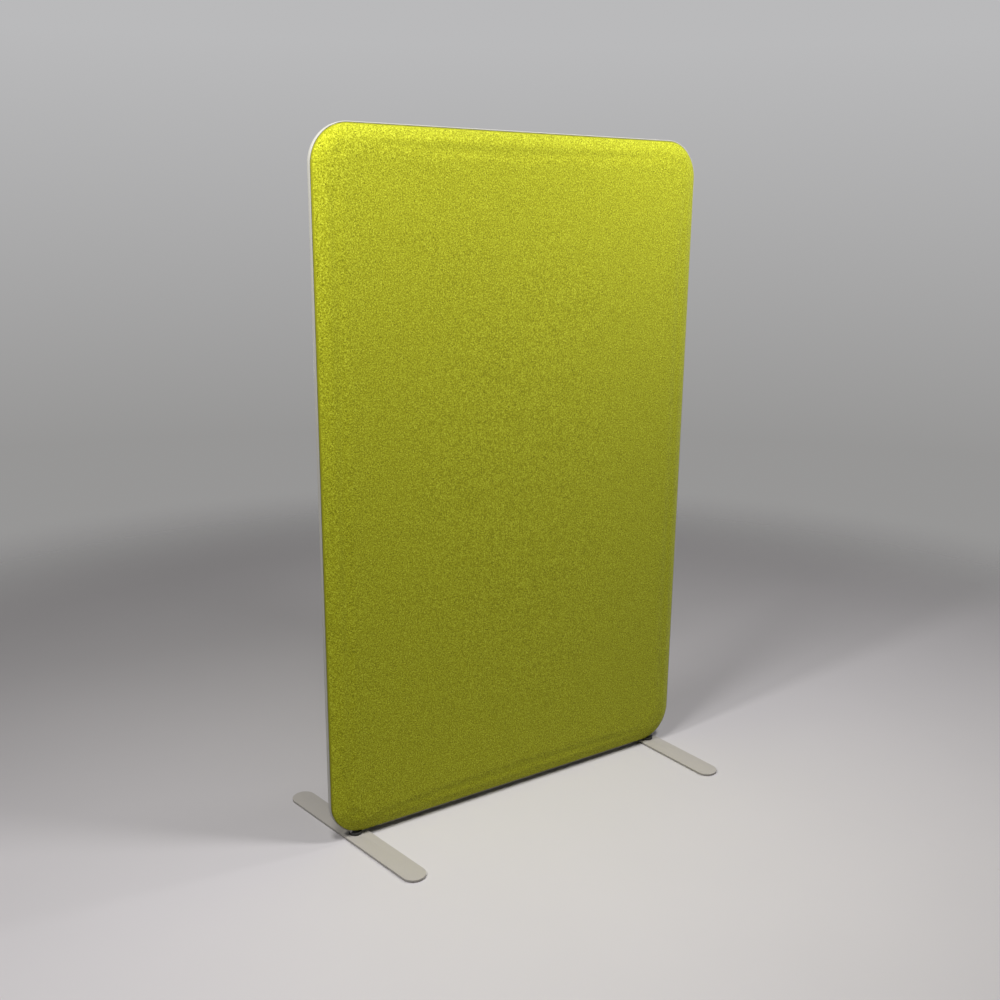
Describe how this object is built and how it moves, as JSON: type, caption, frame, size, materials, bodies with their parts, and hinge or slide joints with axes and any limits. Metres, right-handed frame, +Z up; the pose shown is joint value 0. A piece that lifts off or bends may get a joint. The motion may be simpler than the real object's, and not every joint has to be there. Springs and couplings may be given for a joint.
{
  "type": "acoustic divider screen",
  "caption": "Free-standing acoustic divider screen: a fabric-covered absorber panel with soft rounded edges and a slim edge trim, on flat bar feet that swivel on their screws.",
  "frame": {"origin": "on the floor, below the middle of the panel", "axes": "+Z up, X along the panel's width, -Y out of the front face that the picture shows"},
  "size_m": [1, 0.479, 1.551],
  "materials": {
    "board": "raw fibre board",
    "core_felt": "pressed felt",
    "wadding": "fleece",
    "cover_fabric": "woven melange wool",
    "trim_lacquer": "satin powder coat",
    "staple_wire": "galvanised",
    "block_steel": "oiled",
    "zinc_screw": "zinc plated",
    "spacer_plastic": "moulded",
    "foot_lacquer": "fine texture powder coat",
    "glide_felt": "adhesive pad"
  },
  "bodies": {
    "panel": {"centre_board": "board", "front_core": "core_felt", "back_core": "core_felt", "front_wadding": "wadding", "back_wadding": "wadding", "front_cover": "cover_fabric", "back_cover": "cover_fabric", "edge_trim": "trim_lacquer", "bottom_trim": "trim_lacquer", "front_staples": "staple_wire", "back_staples": "staple_wire", "left_foot_block": "block_steel", "right_foot_block": "block_steel", "block_screws": "zinc_screw", "left_spacer": "spacer_plastic", "right_spacer": "spacer_plastic", "left_foot_screw": "zinc_screw", "right_foot_screw": "zinc_screw"},
    "left_foot": {"left_foot": "foot_lacquer", "left_glides": "glide_felt"},
    "right_foot": {"right_foot": "foot_lacquer", "right_glides": "glide_felt"}
  },
  "joints": [
    {"name": "left_foot_swivel", "type": "hinge", "parent": "panel", "child": "left_foot", "pos_m": [-0.4375, 0, 0.004], "axis": [0, 0, 1], "range_deg": [-99.3, 80.7]},
    {"name": "right_foot_swivel", "type": "hinge", "parent": "panel", "child": "right_foot", "pos_m": [0.4375, 0, 0.004], "axis": [0, 0, 1], "range_deg": [-93.9, 86.1]}
  ]
}
